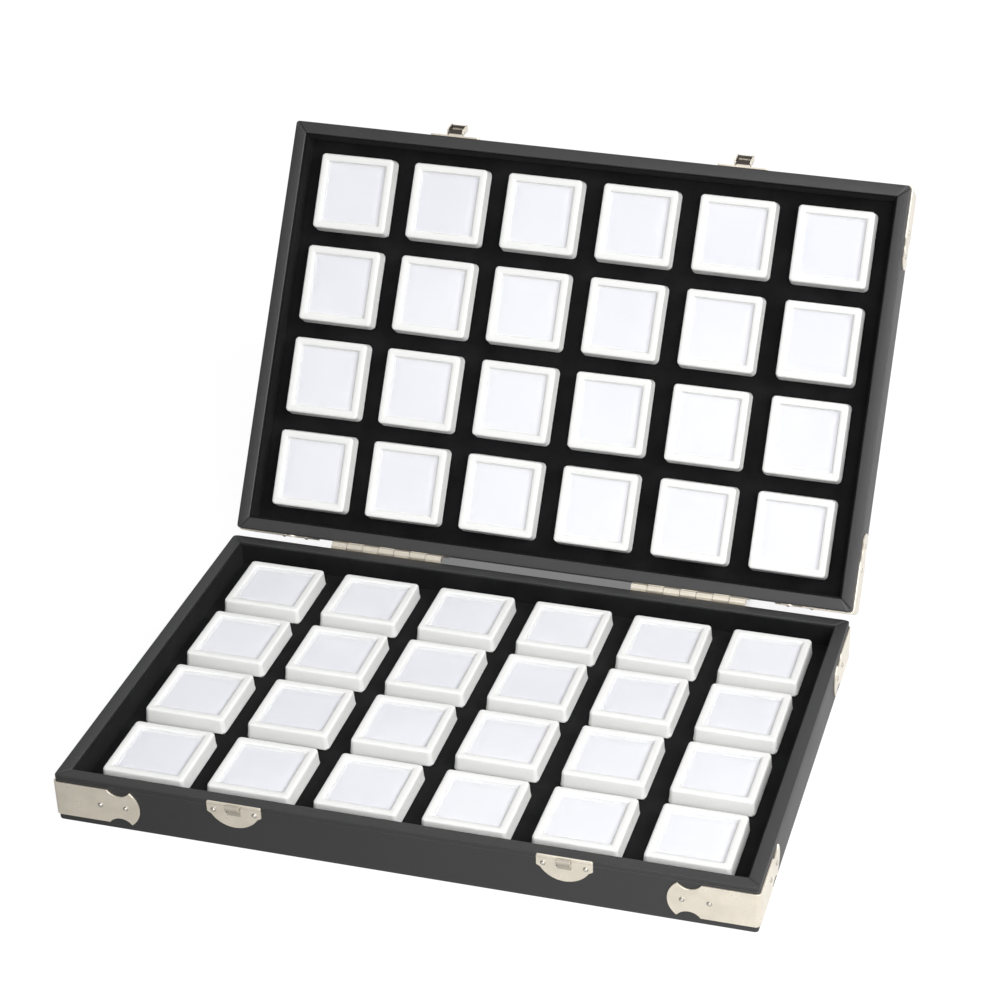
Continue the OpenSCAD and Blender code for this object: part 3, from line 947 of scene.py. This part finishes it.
def rivetShape(s):
    # a low skirt pressed into the plate, a groove darkened with painted shade and a round dome, turned
    # about its axis; the painted shade is heavier on one side
    skirt = np.array(s["skirt"])
    dome = arcPoints((0, 0), 1.0, 8, 86, 6) * (s["domeShare"] * s["head"], s["dome"]) + (0, s["domeLift"])
    profile = np.concatenate([skirt[:, :2] * (s["head"], 1), dome])
    angle = np.linspace(0, 2 * math.pi, s["turns"], endpoint=False)
    radius, height = profile[:, 0:1], profile[:, 1:2]
    rings = np.stack([radius * np.cos(angle), radius * np.sin(angle), height + 0 * angle], axis=-1)
    shaded = np.concatenate([skirt[:, 2], s["domeGrime"]])[:, None]
    # painted shade heavier on the side turned away from the light
    shaded = shaded * (0.7 + 0.3 * np.cos(angle - math.radians(s["darkSide"])))
    return *ringShape(rings), shaded.reshape(-1)


def faceOut(points, spot, direction):
    # turns a shape's +Z to a horizontal direction and moves it to a spot
    d = np.array(direction, float)
    sideways = np.array([-d[1], d[0], 0])
    up = np.array([0, 0, 1.0])
    return points[:, 0:1] * sideways + points[:, 1:2] * up + points[:, 2:3] * d + np.array(spot)


sides = ("left", "right")
latchPlace = {side: nodeMiddle(f"{side}_catch_plate")[0] for side in sides}
hingePlaces = [nodeMiddle(f"{side}_hinge_base_leaf")[0] for side in sides]
plateLow, plateHigh = nodeBox("left_catch_plate")
shieldEdge = {
    "base": plateHigh[2],
    "lid": nodeBox("left_clasp_plate", inLid=True)[1][2] - (plateHigh - plateLow)[2],
}
shieldSet = {
    "radius": (plateHigh - plateLow)[0] / 2,
    "straight": 6.0 * mm,
    "shoulder": 0.5 * mm,
    "chamfer": 0.4 * mm,
    "rivetOut": 9.5 * mm,
    "rivetDown": 4.3 * mm,
    "bevel": 0.24 * mm,
}
leafSet = {"rivets": (-22 * mm, 0, 22 * mm), "rivetFrom": 8.5 * mm}


def rivetSpots(body):
    # spots and directions in the closed case
    up = -1 if body == "base" else 1
    z = guardMiddle(body)
    spots = []
    for sx in (-1, 1):
        for sy in (-1, 1):
            for x in guardSet["rivets"]:
                spots.append(((sx * (halfWidth - x), sy * (halfDepth + plate), z), (0, sy, 0)))
                spots.append(((sx * (halfWidth + plate), sy * (halfDepth - x), z), (sx, 0, 0)))
    z = hingePoint[2] + up * leafSet["rivetFrom"]
    for centre in hingePlaces:
        spots += [((centre + x, halfDepth + plate, z), (0, 1, 0)) for x in leafSet["rivets"]]
    z = shieldEdge[body] + up * shieldSet["rivetDown"]
    for centre in latchPlace.values():
        spots += [((centre + sx * shieldSet["rivetOut"], -halfDepth - plate, z), (0, -1, 0))
                  for sx in (-1, 1)]
    return spots


for bodyName in halves:
    rivet = rivetShape(rivetSet)
    heads = joinShapes([(faceOut(rivet[0], *spot), *rivet[1:]) for spot in rivetSpots(bodyName)])
    addPiece(f"{bodyName}_rivet_heads", placed(heads, placeBase if bodyName == "base" else placeClosedLid),
             bodyName, f"{bodyName}_rivets", "rivet", sharp=60)
print("rivets made")


# Catches on the base, clasp plates and hasps on the lid

def shieldShape(s, centre, edge, up):
    # a plate with a flat edge, straight sides, small shoulders and a round end; up is 1 or -1
    r, straight, chamfer = s["radius"], s["straight"], s["chamfer"]
    start = math.degrees(math.asin(straight / r)) + 3
    right = [[r - chamfer, 0], [r, -chamfer], [r, -straight + s["shoulder"]]]
    left = [[-x, y] for x, y in right[::-1]]
    outline = np.concatenate([right, arcPoints((0, 0), r, -start, start - 180, 31), left])
    return prism(outline * (1, -up) + (centre, edge), -halfDepth - plate, -halfDepth, axes=(0, 2, 1))


def curledSheet(path, thick, halfAcross, centre):
    # a path of (y, z) points given a thickness and drawn out along X
    path = np.asarray(path, float)
    run = np.gradient(path, axis=0)
    run /= np.linalg.norm(run, axis=1)[:, None]
    across = np.stack([-run[:, 1], run[:, 0]], axis=-1)
    outline = np.concatenate([path + across * thick / 2, (path - across * thick / 2)[::-1]])
    return prism(outline, centre - halfAcross, centre + halfAcross, axes=(1, 2, 0))


def withPaintedShade(shape, level, clean=2):
    # the same painted shade on every face but the last ones, which are the unshaded ends of a drawn-out
    # shape
    points, faces = shape
    return points, faces, [level] * (len(faces) - clean) + [0.0] * clean


hookSet = {
    "halfAcross": 3.2 * mm,
    "radius": 1.1 * mm,
    "sheet": 0.6 * mm,
    "out": 1.2 * mm,
    "down": 1.35 * mm,
    "root": (0.2 * mm, -0.9 * mm),
    # painted shade on the curled hook and its strap
    "tarnish": 0.4,
    "strapOut": 0.2 * mm,
    "strapLength": 6.0 * mm,
    "bandInset": 0.35 * mm,
    "band": 1.2 * mm,
    "bandOut": 0.15 * mm,
    "shade": 0.35 * mm,
    "shadeOut": 0.03 * mm,
    # painted shadow in the bar below the top band
    "shadeGrime": 0.3,
    "slotWide": 0.55 * mm,
    "slotOut": 0.05 * mm,
    "slotSpan": (5.2 * mm, 2.0 * mm),
    "slotSunk": 0.5 * mm,
    # painted shadow in the slot beside the hook
    "slotGrime": 0.9,
    "sunk": 0.3 * mm,
}


def addCatch(side):
    # the shield plate with its bent top band, a bar of painted shadow below it, the curled hook and its
    # strap darkened with painted shade, and a slot darkened with painted shadow
    s, centre, top, face = hookSet, latchPlace[side], shieldEdge["base"], -halfDepth - plate

    def bar(left, right, out, below, above, sunk=s["sunk"]):
        # a bar on the plate's face, from so far below its top to so far
        front, back = face - out, face + sunk
        outline = np.array([[left, front], [right, front], [right, back], [left, back]])
        return prism(outline, top - below, top - above)

    reach, half, band = shieldSet["radius"] - s["bandInset"], s["halfAcross"], s["band"]
    hook = np.concatenate([[np.array(s["root"]) + (face, top)],
                           arcPoints((face - s["out"], top - s["down"]), s["radius"], 50, 285, 22)])
    shape = joinShapes([
        withPaintedShade(shieldShape(shieldSet, centre, top, -1), 0.0),
        withPaintedShade(bar(centre - reach, centre + reach, s["bandOut"], band, 0), 0.0),
        withPaintedShade(bar(centre - reach, centre + reach, s["shadeOut"], band + s["shade"], band),
                  s["shadeGrime"], clean=0),
        withPaintedShade(curledSheet(hook, s["sheet"], half, centre), s["tarnish"]),
        withPaintedShade(bar(centre - half, centre + half, s["strapOut"], s["strapLength"], band), s["tarnish"]),
        withPaintedShade(bar(centre - half - s["slotWide"], centre - half, s["slotOut"], *s["slotSpan"],
                      sunk=s["slotSunk"]), s["slotGrime"], clean=0),
    ])
    addPiece(f"{side}_catch", shape, "base", f"{side}_catch_plate", "nickel", bevel=shieldSet["bevel"])


haspPoint = {side: turnAbout(np.array(jointOf[f"{side}_hasp_hinge"]["pos_m"]), hingePoint, -openAngle)
             for side in sides}
lugSet = {
    "run": (0.4 * mm, 1.3 * mm, 1.8 * mm),
    "down": 1.0 * mm,
    "radius": 0.92 * mm,
    "sheet": 0.42 * mm,
    "halfAcross": 3.2 * mm,
    # painted shade over the lug, from this far out from the plate's face and over this distance
    "grimeFrom": 0.5 * mm,
    "grimeOver": 0.5 * mm,
}


def lugShape(s, centre, pivotY, pivotZ):
    # the plate's tongue rolled round the hasp's pin
    tongue = [[-halfDepth - out, pivotZ - s["down"]] for out in s["run"]]
    roll = arcPoints((pivotY, pivotZ), s["radius"], 262, 20, 14)
    path = np.concatenate([tongue, [[pivotY, pivotZ - s["down"]]], roll])
    return curledSheet(path, s["sheet"], s["halfAcross"], centre)


def addClasp(side):
    # painted shade grows outwards from the plate's face over the lug
    s, centre = lugSet, latchPlace[side]
    shield = shieldShape(shieldSet, centre, shieldEdge["lid"], 1)
    points, faces = joinShapes([shield, lugShape(s, centre, *haspPoint[side][1:])])
    shaded = np.clip((-halfDepth - plate - points[:, 1] - s["grimeFrom"]) / s["grimeOver"], 0, 1)
    addPiece(f"{side}_clasp", (placeClosedLid(points), faces, shaded), "lid", f"{side}_clasp_plate",
             "nickel", bevel=shieldSet["bevel"])


haspSet = {
    "back": 55,
    "halfAcross": 4.3 * mm,
    "overlap": 0.3 * mm,
    "length": 6.8 * mm,
    "heel": 1.7 * mm,
    "nose": 0.8 * mm,
    "cheek": 0.7 * mm,
    "coverFrom": 1.0 * mm,
    "coverEnd": (0.9 * mm, 1.2 * mm),
    "bendSheet": 0.5 * mm,
    "bendRadius": 0.65 * mm,
    "bendInset": 0.95 * mm,
    "bendTail": np.array([(0.3, 0.5), (0.3, -0.9), (0.7, -1.2)]) * mm,
    "barOut": 6.0 * mm,
    "barDrop": 0.6 * mm,
    "barRadius": 0.6 * mm,
    # painted shade on the bar inside the hasp's channel
    "barTarnish": 0.95,
    "bevel": 0.18 * mm,
}


def cheekOutline(s):
    # side of the hasp as (y, z) about its pin: round heel, straight edges, softened nose
    heel, nose = s["heel"], s["nose"]
    reach = nose - s["length"]
    return np.concatenate([
        arcPoints((0, 0), heel, -90, 90, 13),
        arcPoints((reach, heel - nose), nose, 90, 180, 5),
        arcPoints((reach, nose - heel), nose, 180, 270, 5),
    ])


def haspShapes(s, centre, pivot):
    # two cheeks, the cover between them, its end bent over to the bar, and the bar; painted shade and
    # painted dark reflection on the inner faces and on the bar
    inner, end, heel, cheek = s["halfAcross"] - s["overlap"], -s["length"], s["heel"], s["cheek"]
    shapes = []
    for left, insideFace in ((centre - s["halfAcross"], -1), (centre + s["halfAcross"] - cheek, -2)):
        points, faces = prism(cheekOutline(s) + pivot[1:], left, left + cheek, axes=(1, 2, 0))
        shaded = [0.0] * len(faces)
        # painted shade and painted dark reflection on the cheek's inner face
        shaded[insideFace] = 1.0
        shapes.append((points, faces, shaded))

    def across(outline):
        return prism(outline + pivot[1:], centre - inner, centre + inner, axes=(1, 2, 0))

    upper, lower = (end + inset for inset in s["coverEnd"])
    cover = np.array([[-heel, heel], [0.5 * end, heel], [upper, heel],
                      [lower, s["coverFrom"]], [0.5 * end, s["coverFrom"]], [-heel, s["coverFrom"]]])
    # painted shade and painted dark reflection on the cover's inner faces
    shapes.append((*across(cover), [0, 0, 0, 1, 1, 1, 0, 0]))
    turn = arcPoints((end + s["bendInset"], heel - s["bendInset"]), s["bendRadius"], 90, 180, 6)
    bend = np.concatenate([turn, s["bendTail"] + (end, 0)]) + pivot[1:]
    shapes.append(withPaintedShade(curledSheet(bend, s["bendSheet"], inner, centre), 0.0))
    bar = arcPoints((-s["barOut"], -s["barDrop"]), s["barRadius"], 0, 330, 12)
    shapes.append(withPaintedShade(across(bar), s["barTarnish"]))
    return shapes


def addHasp(side):
    # drawn straight out from the lid and turned back about its pin, over the lid's front
    shape = joinShapes(haspShapes(haspSet, latchPlace[side], haspPoint[side]))
    back = math.radians(haspSet["back"])
    addPiece(f"{side}_hasp_channel",
             placed(shape, lambda points: placeClosedLid(turnAbout(points, haspPoint[side], back))),
             f"{side}_hasp", f"{side}_hasp", "nickel", bevel=haspSet["bevel"])


for addOne in (addCatch, addClasp, addHasp):
    for side in sides:
        addOne(side)
print("catches and hasps made")


# Hinge leaves and pins keep the frame's shape

dressedNodes = {
    "nickel": [f"{side}_hinge_{half}_leaf" for half in halves for side in sides],
    "pins": ["hinge_pins", "hasp_pins"],
}
for look, nodeNames in dressedNodes.items():
    for nodeName in nodeNames:
        dressed = frame["nodes"][nodeName].data.materials
        dressed.clear()
        dressed.append(looks[look])
print("hinges dressed")


# Floor, lights and background

lightSet = {
    "worldDiffuse": 0.40,
    "worldGlossy": 0.1,
    "worldRange": (-0.42, -0.12),
    "floorReach": 6.0,
    "floorGlow": 0.88,
    "floorGlossy": 0.34,
    "floorRange": (-0.17, 0.17),
    "floorTone": 0.2,
    "lamps": [
        {"name": "key lamp", "place": (1.5, -0.5, 1.2), "size": 0.7, "power": 18.0},
        {"name": "front lamp", "place": (0.6, -1.35, 1.05), "size": 0.9, "power": 18.0},
        {"name": "rear lamp", "place": (-0.2, 1.2, 1.7), "size": 1.2, "power": 3.0},
    ],
    "shade": {"middle": (-0.01, 0.143), "half": (0.1, 0.018), "soft": 0.014, "depth": 0.8},
}


def objectPlace(tree):
    return addNode(tree, "SeparateXYZ", {0: addNode(tree, "TexCoord").outputs["Object"]}).outputs


def footShade(tree, s):
    # 1 on the open floor, less on the soft-edged patch below the hinges, where the lid shuts out light
    place = objectPlace(tree)
    inside = []
    for axis in (0, 1):
        away = mathNode(tree, "ABSOLUTE", mathNode(tree, "SUBTRACT", place[axis], s["middle"][axis]))
        inside.append(spread(tree, away, 1.0, 0.0, s["half"][axis], s["half"][axis] + s["soft"]))
    share = mathNode(tree, "MULTIPLY", *inside)
    return mathNode(tree, "SUBTRACT", 1.0, mathNode(tree, "MULTIPLY", share, s["depth"]))


def whiteShare(tree, leftGlossy, xRange):
    # 1 to the camera; to mirror-like surfaces it grows along X from leftGlossy to 1; 0 to matt ones
    side = spread(tree, objectPlace(tree)[0], leftGlossy, 1.0, *xRange)
    rays = addNode(tree, "LightPath").outputs
    direct = mathNode(tree, "MAXIMUM", rays["Is Camera Ray"], rays["Is Transmission Ray"])
    return mathNode(tree, "MAXIMUM", direct, mathNode(tree, "MULTIPLY", rays["Is Glossy Ray"], side))


def addFloor(s):
    reach = s["floorReach"]
    mesh = bpy.data.meshes.new("floor")
    mesh.from_pydata([(-reach, -reach, 0), (reach, -reach, 0), (reach, reach, 0), (-reach, reach, 0)], [],
                     [(0, 1, 2, 3)])
    material = bpy.data.materials.new("pale floor")
    material.use_nodes = True
    tree = material.node_tree
    tree.nodes.clear()
    shade = mathNode(tree, "MULTIPLY", footShade(tree, s["shade"]), s["floorGlow"])
    white = mathNode(tree, "MULTIPLY", whiteShare(tree, s["floorGlossy"], s["floorRange"]), shade)
    matt = addNode(tree, "BsdfDiffuse", {"Color": (s["floorTone"],) * 3 + (1,)})
    glow = addNode(tree, "Emission", {"Color": (1, 1, 1, 1), "Strength": white})
    both = addNode(tree, "AddShader", {0: matt.outputs[0], 1: glow.outputs[0]})
    addNode(tree, "OutputMaterial", {"Surface": both.outputs[0]})
    mesh.materials.append(material)
    addObject("floor", mesh)


def addLamps(lamps):
    # round lamps that face the middle of the case
    for s in lamps:
        data = bpy.data.lights.new(s["name"], "AREA")
        data.shape = "DISK"
        data.size = s["size"]
        data.energy = s["power"]
        away = np.array(s["place"]) / np.linalg.norm(s["place"])
        sideways = np.cross((0, 0, 1), away)
        sideways /= np.linalg.norm(sideways)
        aimObject(addObject(s["name"], data), (sideways, np.cross(away, sideways), away), s["place"])


def setWorld(s):
    world = bpy.data.worlds.new("studio")
    bpy.context.scene.world = world
    world.use_nodes = True
    tree = world.node_tree
    seen = whiteShare(tree, s["worldGlossy"], s["worldRange"])
    feed(tree, tree.nodes["Background"], {"Color": (1, 1, 1, 1),
                                          "Strength": mathNode(tree, "MAXIMUM", seen, s["worldDiffuse"])})


addFloor(lightSet)
addLamps(lightSet["lamps"])
setWorld(lightSet)
bpy.context.scene.view_settings.view_transform = "Standard"
print("floor and lights set")
